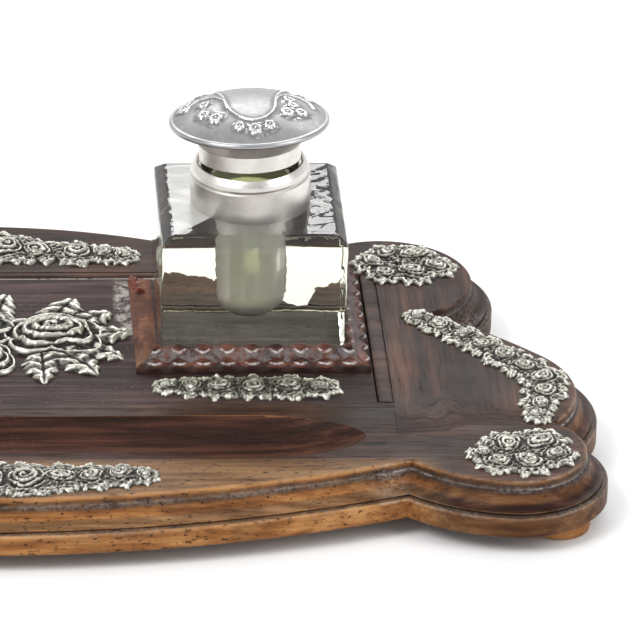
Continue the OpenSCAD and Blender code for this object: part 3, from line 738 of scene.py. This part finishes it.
def rose_relief(x, y, cx, cy, r, turn, h, seed):
    """Cabbage rose: overlapping scalloped petals whose rims stand up round a spiral heart."""
    g = np.random.default_rng(seed)
    x, y = warp(x, y, 0.10 * r, 0.55 * r, seed)
    dx, dy = x - cx, y - cy
    tilt = g.uniform(0, PI2)
    squash = g.uniform(0.72, 0.95)
    u, v = dx * math.cos(tilt) + dy * math.sin(tilt), (-dx * math.sin(tilt) + dy * math.cos(tilt)) / squash
    rho = np.hypot(u, v) / r * squash ** 0.5
    th = np.arctan2(v, u) + math.radians(turn)
    rims = np.zeros(x.shape)
    level = np.zeros(x.shape)
    layers = ((1.0, 5, 0.17), (0.76, 5, 0.15), (0.55, 4, 0.13), (0.36, 3, 0.11))
    for k, (a, petals, depth) in enumerate(layers):
        ph = g.uniform(0, PI2)
        lobe = np.abs(np.sin(petals / 2 * th + ph + 1.3 * rho)) ** 0.6
        edge = a * (1 - depth + depth * lobe)
        inside = 1 / (1 + np.exp(-(edge - rho) * 34))
        curl = np.exp(-((edge - 0.055 - rho) / 0.055) ** 2)
        dip = np.exp(-((edge - 0.17 - rho) / 0.08) ** 2)
        level = level + inside * (0.34 if k == 0 else 0.22)
        rims = rims + inside * (0.22 * curl - 0.15 * dip)
    veins = 0.035 * np.sin(th * 17 + 6 * rho) * (rho < 0.9)
    heart = 0.10 * np.cos(rho * 34 - th) * (rho < 0.30)
    body = level * (1 - 0.12 * rho ** 2) + rims + veins * level + heart
    return np.where(rho < 1.25, h * (body - 0.10), -1.0)


def leaf_relief(x, y, cx, cy, length, width, turn, h, seed):
    """A pointed leaf with a sunk midrib, side veins and a curled, toothed edge."""
    x, y = warp(x, y, 0.05 * length, 0.5 * length, seed)
    t = math.radians(turn)
    u = ((x - cx) * math.cos(t) + (y - cy) * math.sin(t)) / length
    v = -(x - cx) * math.sin(t) + (y - cy) * math.cos(t)
    uc = np.clip(u, 0.001, 0.999)
    half = width / 2 * np.sin(math.pi * uc ** 0.75) ** 0.8 * (1 + 0.10 * np.sin(uc * 40))
    q = np.abs(v) / np.maximum(half, 0.15)
    body = (1 - q ** 3) * (0.55 + 0.35 * q) - 0.22 * np.exp(-(v / 0.28) ** 2)
    body = body + 0.10 * np.sin(uc * 26 + q * 4.5)
    tip = np.minimum(u, 1 - u)
    body = np.minimum(body, 1.0) * np.clip(tip * 9, 0, 1) + np.minimum(0, tip * 4)
    body = np.maximum(body, -0.6)
    return np.where((u > -0.15) & (u < 1.15) & (q < 2.5), h * body, -1.0)


def bed_relief(x, y, cx, cy, r, h, seed):
    """Low crumpled foliage that fills the gaps beside a rose."""
    u, v = warp(x, y, 0.9, 2.1, seed)
    crumple = 0.5 + 0.5 * np.sin(u * 2.6 + 1.4 * np.sin(v * 1.9)) * np.cos(v * 2.4 + 1.2 * np.sin(u * 1.7))
    a = np.arctan2(y - cy, x - cx)
    ragged = 1 + 0.10 * np.sin(7 * a + seed) + 0.05 * np.sin(13 * a)
    rho = np.hypot(x - cx, y - cy) / (r * ragged)
    return h * (0.55 + 0.75 * crumple) * np.clip((1 - rho) * 8, -1, 1)


def blurred(a, k, times):
    """A box blur k cells wide to each side, so many times over."""
    for _ in range(times):
        for axis in (0, 1):
            c = np.cumsum(np.pad(a, [(k + 1, k) if i == axis else (0, 0) for i in (0, 1)], mode="edge"), axis)
            lead = [slice(None)] * 2
            lag = [slice(None)] * 2
            lead[axis], lag[axis] = slice(2 * k + 1, None), slice(0, -2 * k - 1)
            a = (c[tuple(lead)] - c[tuple(lag)]) / (2 * k + 1)
    return a


def relief_heights(X, Y, parts):
    """The highest of the parts at each grid point; -1 where there is none."""
    H = np.full(X.shape, -1.0)
    for kind, cx, cy, size, turn, h, width, seed in parts:
        near = (np.abs(X - cx) < size * 1.4 + 1) & (np.abs(Y - cy) < size * 1.4 + 1)
        i0, i1 = np.where(near.any(1))[0][[0, -1]]
        j0, j1 = np.where(near.any(0))[0][[0, -1]]
        s = (slice(i0, i1 + 1), slice(j0, j1 + 1))
        if kind == "rose":
            f = rose_relief(X[s], Y[s], cx, cy, size, turn, h, seed)
        elif kind == "bed":
            f = bed_relief(X[s], Y[s], cx, cy, size, h, seed)
        else:
            f = leaf_relief(X[s], Y[s], cx, cy, size, width, turn, h, seed)
        H[s] = np.maximum(H[s], f)
    rough = np.random.default_rng(5).normal(0, 1, H.shape)
    return np.where(H > -0.9, H + 0.07 * blurred(rough, 1, 1) * 3, H)


def walls_of(quads, n):
    """Walls down from a sheet's open edges to its copy, whose points come n later."""
    edges = {}
    for a in range(4):
        for p, q in zip(quads[:, a].tolist(), quads[:, (a + 1) % 4].tolist()):
            if edges.pop((q, p), None) is None:
                edges[(p, q)] = True
    return [[p, p + n, q + n, q] for p, q in edges]


def relief_mesh(name, parts, z0, side, node):
    """A closed casting over its parts, which lies on the height z0; side -1 mirrors it."""
    xs = [p[1] for p in parts]
    ys = [p[2] for p in parts]
    reach = max(p[3] for p in parts) * 1.35 + 2
    X, Y = np.meshgrid(np.arange(min(xs) - reach, max(xs) + reach, GRID),
                       np.arange(min(ys) - reach, max(ys) + reach, GRID), indexing="ij")
    H = relief_heights(X, Y, parts)
    H = np.where(H < -0.15, CUT, H)
    if z0 == TOP_Z:
        shown = np.argwhere(H > CUT)
        off = inset_of(np.column_stack([X[tuple(shown.T)], Y[tuple(shown.T)]])) < TOP_INSET + 0.9
        H[tuple(shown[off].T)] = CUT
    cav = np.clip(0.5 + (H - blurred(H, 3, 2)) * 1.0 + (H - blurred(H, 8, 2)) * 0.22, 0, 1)
    quads, used = kept_quads(H, CUT + 0.05)
    n = len(used)
    top = np.column_stack([X.ravel()[used] * side, Y.ravel()[used], z0 + H.ravel()[used]])
    low = top * [1, 1, 0] + [0, 0, z0 - 0.55]
    faces = quads.tolist() + (quads[:, ::-1] + n).tolist() + walls_of(quads, n)
    if side < 0:
        faces = [f[::-1] for f in faces]
    add_mesh(name, np.concatenate([top, low]), faces, "stand", OLD_SILVER,
             {"cav": np.concatenate([cav.ravel()[used], np.full(n, 0.2)])}, 180, [node])


# Each row is a rose: its place, its radius and how far it is turned
GARLAND_BACK = [(0, 71, 9.5, 20), (10.5, 71.5, 8.5, 70), (20, 69, 6.6, 10), (31.5, 67.8, 6.4, 50),
                (39, 67, 5, 0), (45, 66, 4.4, 30)]
GARLAND_FRONT = [(0, -76.5, 9.3, 20), (11, -76.8, 8.4, 60), (21, -76, 7, 15), (30, -75.6, 6.4, 45),
                 (38, -75, 5.6, 0), (44.5, -75, 4.2, 20)]
GARLAND_PANEL = [(54.5, -18, 3.8, 0), (61, -18.5, 5, 40), (69.5, -18.5, 6, 10), (79.5, -18.5, 6.2, 60),
                 (89.5, -18.6, 6.2, 20), (98.5, -19, 5.2, 0)]
GARLAND_END = [(130, 24.5, 3.8, 0), (136, 18.5, 4.8, 40), (142, 12.5, 5, 80), (148, 5.8, 5.2, 20),
               (153.5, -1.2, 5.6, 60), (159, -8, 6, 10), (163.5, -15.5, 6.2, 50), (163.5, -24, 5.6, 0),
               (161, -32, 4.8, 30), (160, -39, 3.8, 70)]
SPRAY_FRONT = [(150, -57.5, 7, 0), (159.5, -56, 7, 50), (163, -64, 5.4, 20), (155, -68.5, 6.4, 80),
               (146.5, -68, 5.6, 35), (142, -63, 3.8, 10)]
SPRAY_BACK = [(119.5, 60, 5.6, 0), (123.5, 66, 5.2, 40), (131.5, 65, 6, 75), (137.5, 57.5, 5.6, 15),
              (130.5, 54, 6.2, 60), (122.5, 53, 4.8, 30)]


def sprigs(rows, h, seed, both=False):
    """Roses with leaf tips on either side, as parts for relief_mesh."""
    out = []
    g = np.random.default_rng(seed)
    for k, (x, y, r, turn) in enumerate(rows):
        for mirror in ((1, -1) if both and x else (1,)):
            s = seed * 100 + k * 7 + (mirror < 0)
            out.append(("rose", x * mirror, y, r * 1.06, turn * mirror, h, 0, s))
            out.append(("bed", x * mirror, y, r * 1.22, 0, h * 0.42, 0, s + 60))
            for j, a in enumerate((turn + 55, turn + 235, turn + 140)):
                a = math.radians(a + g.uniform(-20, 20))
                lx, ly = x + 0.4 * r * math.cos(a), y + 0.4 * r * math.sin(a)
                deg = math.degrees(a)
                out.append(("leaf", lx * mirror, ly, r * 0.95, deg if mirror > 0 else 180 - deg, h * 0.62,
                            r * 0.75, s + 40 + j))
    return out


SIDE_MOUNTS = ((GARLAND_PANEL, PANEL_TOP, "garland_panel", 5), (GARLAND_END, TOP_Z, "garland_end", 6),
               (SPRAY_FRONT, TOP_Z, "spray_front_lobe", 7), (SPRAY_BACK, TOP_Z, "spray_back_lobe", 8))


def centre_parts():
    """Four big roses with fans of leaves at the sides."""
    parts = [("rose", 0, 21, 13, 10, 4.6, 0, 31), ("rose", 0, 0, 11.5, 40, 3.8, 0, 32)]
    for s in (1, -1):
        parts.append(("rose", s * 22.5, 15, 15.3, 30, 5.4, 0, 33 + s))
        for k, a in enumerate((-85, -55, -28, 4, 34, 64)):
            t = math.radians(a)
            x, y = s * (17 + 9 * math.cos(t)), 14 + 9 * math.sin(t)
            parts.append(("leaf", x, y, 20, a if s > 0 else 180 - a, 2.4, 12, 41 + k + 10 * s))
        t = math.radians(90 + s * 22)
        parts.append(("leaf", 10 * math.cos(t), 14 + 10 * math.sin(t), 19, 90 + s * 22, 2.3, 11, 61 + s))
    return parts


def make_mounts():
    relief_mesh("garland_back_cast", sprigs(GARLAND_BACK, 2.5, 3, True), TOP_Z, 1, "garland_back")
    relief_mesh("garland_front_cast", sprigs(GARLAND_FRONT, 2.5, 4, True), TOP_Z, 1, "garland_front")
    for side, word in SIDES:
        for rows, z0, kind, seed in SIDE_MOUNTS:
            relief_mesh(f"{word}_{kind}_cast", sprigs(rows, 2.4, seed), z0, side, f"{word}_{kind}")
    relief_mesh("centre_cast", centre_parts(), PANEL_TOP, 1, "rose_mount_centre")


# ---- glass wells
def glass_block():
    """The square block with rounded corners and a bevelled top, its top face at height 0."""
    b, c, k = BLOCK_W / 2, 0.7, 6
    corners = []
    for sx, sy, a0 in ((1, -1, -90), (1, 1, 0), (-1, 1, 90), (-1, -1, 180)):
        for i in range(k + 1):
            a = math.radians(a0 + 90 * i / k)
            corners.append((sx, sy, math.cos(a), math.sin(a)))
    stack = ([(0.9, -BLOCK_H), (0.25, -BLOCK_H + 0.25), (0, -BLOCK_H + 0.9)]
             + [(0.10 * math.sin(z * 0.45), z) for z in np.linspace(-BLOCK_H + 3, -5, 9)]
             + [(0, -2.9), (0.12, -2.45), (0.5, -2.0), (2.4, -0.35), (2.9, -0.06), (3.6, 0)])
    pts = [(sx * (b - inset - c) + c * u, sy * (b - inset - c) + c * v, z)
           for inset, z in stack for sx, sy, u, v in corners]
    return np.array(pts), capped(len(stack), len(corners))


def ink_cavity():
    """The ink cavity's profile, from its mouth down to a round bottom."""
    r, bottom_r = CAVITY_R, 8
    low, high = bottom_r - CAVITY_DEPTH, NECK_H - 0.7
    wall = [(r - 1.2 * i / 10 + 0.10 * math.sin(i * 1.9), high - (high - low) * i / 10) for i in range(1, 10)]
    turns = [math.radians(a) for a in range(0, 90, 9)]
    bottom = [((r - 1.2) * math.cos(a), low - bottom_r * math.sin(a)) for a in turns]
    return ([(0.001, NECK_H + 1), (r + 0.6, NECK_H + 1), (r + 0.6, NECK_H + 0.2), (r, high)] + wall + bottom
            + [(0.001, -CAVITY_DEPTH)])


def make_glass():
    neck = [(0.001, -1), (NECK_R, -1), (NECK_R, NECK_H - 0.6), (NECK_R - 0.6, NECK_H), (0.001, NECK_H)]
    for side, word in SIDES:
        centre = Matrix.Translation((side * WELL_X, WELL_Y, GLASS_Z))
        pts, faces = glass_block()
        well = loose(f"{word}_ink_glass", moved(pts, centre), faces)
        for profile, operation in ((neck, "UNION"), (ink_cavity()[::-1], "DIFFERENCE")):
            pts, faces = lathe(profile, 96)
            boolean(well, loose("cutter", moved(pts, centre), faces), operation)
        finish_mesh(well, GLASS, 30)
        well.data.materials.append(GROUND_BASE)
        well.data.materials.append(HAZED_GLASS)
        for poly in well.data.polygons:
            x, y, z = poly.center / MM
            away = math.hypot(x - side * WELL_X, y - WELL_Y)
            if z < PANEL_TOP + 0.1:
                poly.material_index = 1
            elif away < CAVITY_R + 0.3 and z < GLASS_Z + NECK_H - 1:
                poly.material_index = 2
        place(well, f"{word}_inkwell", [f"{word}_glass_well"])


# ---- lid covers with chased flowers
# Drawn from above, in mm from the lid's middle; a flower is its place and radius
CARTOUCHE = [(-9.2, 14), (-8.2, 8), (-7.2, 2), (-6.6, -4), (-5.6, -8.6), (-3, -12), (0.8, -13.8), (4.4, -12),
             (6.6, -8.6), (7.2, -4), (7.9, 2), (9.4, 8), (11.2, 13.5), (6, 17), (0, 18.2), (-5, 17.2)]
SCROLLS = [[(-6.8, -6.5), (-7.2, -1.5), (-8.8, 2.2), (-11.4, 4.6), (-14.6, 5.2), (-17.4, 3.2), (-18.6, 0)],
           [(7.4, -6.5), (7.7, -1.5), (9.2, 2.6), (12, 5), (15.2, 5), (18, 2.8), (19, -0.6)]]
FLOWERS = [(-10.3, -10.6, 2.2), (-13.6, -7.0, 1.9), (0.9, -17.4, 2.1), (-3.6, -16.0, 1.6), (5.2, -15.6, 1.8),
           (11.8, 0.6, 2.0), (10.8, -8.4, 2.2), (14.9, -6.6, 2.0), (18.4, 7.4, 2.0), (12.6, -3.4, 1.7),
           (-18.4, 6.4, 2.0), (-13.2, -0.6, 1.8), (-19.4, 2.6, 1.5), (16.4, 10.8, 1.9), (-5.8, 19.8, 1.6),
           (3.4, 20.0, 1.7), (11.0, 17.0, 1.9), (-13.4, 14.6, 1.9)]
# The cover's rolled edge: radius, and height above RIM_Z
RIM = [(22.45, 0.62), (22.7, 0.72), (23.0, 0.6), (23.28, 0.3), (RIM_R, -0.1), (RIM_R, -0.5), (23.2, -0.85),
       (22.8, -1.08), (22.2, -1.05), (RIM_R - 1.55, -0.95), (RIM_R - 1.55, 0.05)]


def line_distance(x, y, points):
    """Distance to the nearest of the lines between successive points."""
    best = np.full(x.shape, 1e9)
    for (ax, ay), (bx, by) in zip(points, points[1:]):
        ex, ey = bx - ax, by - ay
        t = np.clip(((x - ax) * ex + (y - ay) * ey) / (ex * ex + ey * ey), 0, 1)
        best = np.minimum(best, np.hypot(x - ax - t * ex, y - ay - t * ey))
    return best


def signed_distance(x, y, poly):
    """Distance to a closed outline, below 0 inside."""
    p = np.array(poly)
    for _ in range(2):
        q = np.roll(p, -1, 0)
        p = np.stack([0.75 * p + 0.25 * q, 0.25 * p + 0.75 * q], 1).reshape(-1, 2)
    inside = np.zeros(x.shape, bool)
    for (ax, ay), (bx, by) in zip(p, np.roll(p, -1, 0)):
        inside ^= ((ay > y) != (by > y)) & (x < (bx - ax) * (y - ay) / ((by - ay) or 1e-9) + ax)
    best = line_distance(x, y, np.concatenate([p, p[:1]]))
    return np.where(inside, -best, best)


def lid_relief(x, y):
    """Height of the chasing: a plain raised-edged shield, two scrolls and sprays of flowers."""
    r = np.hypot(x, y)
    d = signed_distance(x, y, CARTOUCHE)
    field = np.clip(d / 0.8, 0, 1) * np.clip((21.6 - r) / 0.8, 0, 1)
    wx, wy = warp(x, y, 0.35, 1.6, 12)
    leafy = np.abs(np.sin(wx * 1.25 + 1.5 * np.sin(wy * 0.9)))
    leafy = leafy * np.abs(np.sin(wy * 1.15 + 1.5 * np.cos(wx * 0.8)))
    beds = sum(np.exp(-((x - cx) ** 2 + (y - cy) ** 2) / (1.35 * fr) ** 2) for cx, cy, fr in FLOWERS)
    h = field * (0.55 * leafy ** 0.6 * np.clip(beds * 1.3, 0, 1) - 0.12)
    h = h + 0.55 * np.exp(-((d - 0.25) / 0.42) ** 2)
    for line in SCROLLS:
        h = np.maximum(h, 0.5 * np.exp(-(line_distance(x, y, line) / 0.5) ** 2))
    for k, (cx, cy, fr) in enumerate(FLOWERS):
        near = (np.abs(x - cx) < fr * 1.6) & (np.abs(y - cy) < fr * 1.6)
        u, v = x[near] - cx, y[near] - cy
        rho, a = np.hypot(u, v) / fr, np.arctan2(v, u) + k
        petal = 0.72 + 0.28 * np.abs(np.cos(2.5 * a)) ** 0.7
        body = 1 / (1 + np.exp(-(petal - rho) * 16)) * (0.55 + 0.35 * np.sqrt(np.clip(rho, 0, 1)))
        body = body - 0.22 * np.exp(-(np.abs(np.sin(2.5 * a)) * rho / 0.10) ** 2) * (rho > 0.28) * (rho < 1)
        body = body + 0.30 * np.exp(-(rho / 0.17) ** 2) - 0.25 * np.exp(-((rho - 0.3) / 0.08) ** 2)
        h[near] = np.maximum(h[near], body * 0.85)
    return h


def lid_pose(side):
    """From the lid's own axis to its place: leaning on the right, and ajar on its hinge pin."""
    return (Matrix.Translation((side * WELL_X, WELL_Y, GLASS_Z))
            @ Matrix.Rotation(math.radians(-LEAN if side > 0 else 0), 4, "Y")
            @ Matrix.Translation((0, PIN_Y, PIN_Z)) @ Matrix.Rotation(math.radians(-AJAR), 4, "X")
            @ Matrix.Translation((0, -PIN_Y, -PIN_Z)))


def make_lids():
    n = 720
    t = np.arange(n) * PI2 / n
    r = np.concatenate([[0.01], np.arange(0.25, 22.2, 0.17)])[:, None] * np.ones(n)
    x, y = r * np.cos(t), r * np.sin(t)
    z = RIM_Z + (DOME_H - LID_LOWER) * (1 - (r / RIM_R) ** 2.2)
    rim = [(q, RIM_Z + up) for q, up in RIM]
    under = [(q, RIM_Z + DOME_H * (1 - (q / RIM_R) ** 2.2) - SHEET_T) for q in (20, 17, 13, 9, 5, 2, 0.01)]
    for side, word in SIDES:
        h = lid_relief(x * side, y) * np.clip((22.0 - r) / 0.6, 0, 1)
        soft = blurred(np.concatenate([h, h, h], 1), 4, 2)[:, n:2 * n]
        cav = np.clip(0.5 + (h - soft) * 2.2, 0, 1)
        rings = list(np.stack([x, y, z + h], 2)) + [circle(q, zz, t) for q, zz in rim + under]
        values = np.concatenate([cav.ravel(), np.full(n * len(rim + under), 0.55)])
        add_mesh(f"{word}_lid_dome", moved(np.concatenate(rings), lid_pose(side)), capped(len(rings), n),
                 f"{word}_lid", LID_SILVER, {"cav": values}, 60, [f"{word}_lid_cover"])


def make_glue():
    """A lump of old glue where the lost rail ended."""
    X, Y = np.meshgrid(np.arange(46.0, 51.6, 0.25), np.arange(44.0, 53.4, 0.25), indexing="ij")
    g = np.random.default_rng(3)
    H = np.full(X.shape, -1.0)
    for _ in range(26):
        cx, cy = 48.2 + g.normal(0, 0.9), 49.5 + g.normal(0, 2.2)
        w = g.uniform(0.6, 1.3)
        H = np.maximum(H, g.uniform(0.5, 1.6) * (1 - ((X - cx) ** 2 + (Y - cy) ** 2) / w ** 2))
    H = np.clip(H, -0.3, 2)
    edge = (X < 46.3) | (X > 51.2) | (Y < 44.3) | (Y > 53.1)
    H = np.where(edge, -0.3, H)
    quads, used = kept_quads(H, -0.29)
    pts = np.column_stack([X.ravel()[used], Y.ravel()[used], PANEL_TOP + H.ravel()[used]])
    add_mesh("glue_residue", pts, quads, "stand", GLUE, None, 60, ())


# ---- CAD nodes that stay, by what their names hold
KEPT = {"foot_front": FOOT_MAT, "foot_back": FOOT_MAT, "screws": BRASS, "mount_pins": BRASS,
        "panel_strip": STRIP_MAT, "cement": PLASTER, "hinge": COLLAR_SILVER, "lid_base": COLLAR_SILVER,
        "lid_liner": GILT}


def dress_cad_nodes():
    for name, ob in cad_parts.items():
        if name == "inset_panel":
            mat = panel_wood()
        else:
            plain_collar = COLLAR_SILVER if name.endswith("_collar") else None
            mat = next((m for key, m in KEPT.items() if key in name), plain_collar)
        if mat:
            if not ob.data.materials:
                ob.data.materials.append(mat)
            for s in ob.material_slots:
                s.material = mat


# ---- floor, light and camera
FLOOR_R = 14.0  # metres
# The surroundings, from the horizon and all below it (0) to straight above (1)
SKY = [(0.0, (0.95, 0.95, 0.9595)), (0.25, (0.90, 0.90, 0.909)), (0.6, (0.32, 0.32, 0.3232)),
       (1.0, (1, 1, 1))]
CAMERA_AT = (-85.0957, -2397.613, 1236.655)
AZIMUTH, ELEVATION, ROLL = math.radians(-4.4), math.radians(26.6), math.radians(1.7)
LENS = 520.5


def make_floor():
    m = Nodes("floor_white")
    m.set("Base Color", (0.92, 0.92, 0.92))
    m.set("Roughness", 0.9)
    m.set("Specular IOR Level", 0.1)
    me = bpy.data.meshes.new("floor")
    corners = [(sx * FLOOR_R, sy * FLOOR_R, 0) for sx, sy in ((-1, -1), (1, -1), (1, 1), (-1, 1))]
    me.from_pydata(corners, [], [(0, 1, 2, 3)])
    floor = bpy.data.objects.new("floor", me)
    floor.data.materials.append(m.mat)
    bpy.context.scene.collection.objects.link(floor)


def make_world():
    world = bpy.data.worlds.new("studio")
    bpy.context.scene.world = world
    world.use_nodes = True
    tree = world.node_tree
    coord = tree.nodes.new("ShaderNodeTexCoord")
    split = tree.nodes.new("ShaderNodeSeparateXYZ")
    tree.links.new(coord.outputs["Generated"], split.inputs[0])
    ramp = tree.nodes.new("ShaderNodeValToRGB")
    tree.links.new(split.outputs[2], ramp.inputs[0])
    fill_ramp(ramp, SKY)
    tree.links.new(ramp.outputs[0], tree.nodes["Background"].inputs["Color"])
    tree.nodes["Background"].inputs["Strength"].default_value = 1.0


def softbox(name, at, size, power):
    """A rectangular light, in metres and watts, turned to the middle of the stand."""
    data = bpy.data.lights.new(name, "AREA")
    data.shape, data.size, data.size_y, data.energy = "RECTANGLE", size[0], size[1], power
    ob = bpy.data.objects.new(name, data)
    ob.location = at
    ob.rotation_euler = (Vector((0, 0, 0.03)) - Vector(at)).to_track_quat("-Z", "Y").to_euler()
    bpy.context.scene.collection.objects.link(ob)


def make_camera():
    look = Vector((-math.sin(AZIMUTH) * math.cos(ELEVATION), math.cos(AZIMUTH) * math.cos(ELEVATION),
                   -math.sin(ELEVATION)))
    level = Vector((math.cos(AZIMUTH), math.sin(AZIMUTH), 0))
    upright = level.cross(look)
    right = level * math.cos(ROLL) + upright * math.sin(ROLL)
    up = -level * math.sin(ROLL) + upright * math.cos(ROLL)
    data = bpy.data.cameras.new("camera")
    data.lens, data.sensor_width, data.clip_end = LENS, 36.0, 100.0
    camera = bpy.data.objects.new("camera", data)
    turn = Matrix((right, up, -look)).transposed().to_4x4()
    camera.matrix_world = Matrix.Translation(Vector(CAMERA_AT) * MM) @ turn
    bpy.context.scene.collection.objects.link(camera)
    bpy.context.scene.camera = camera


make_plinth()
make_top_board()
make_rails()
make_mounts()
make_glass()
make_lids()
make_glue()
dress_cad_nodes()
make_floor()
make_world()
softbox("key", (-0.9, -0.7, 1.3), (0.8, 0.8), 17)
softbox("fill", (1.2, -0.6, 0.9), (0.7, 0.9), 8)
softbox("back", (0.2, 1.4, 1.0), (1.6, 0.5), 14)
make_camera()
bpy.context.scene.view_settings.view_transform = "Standard"
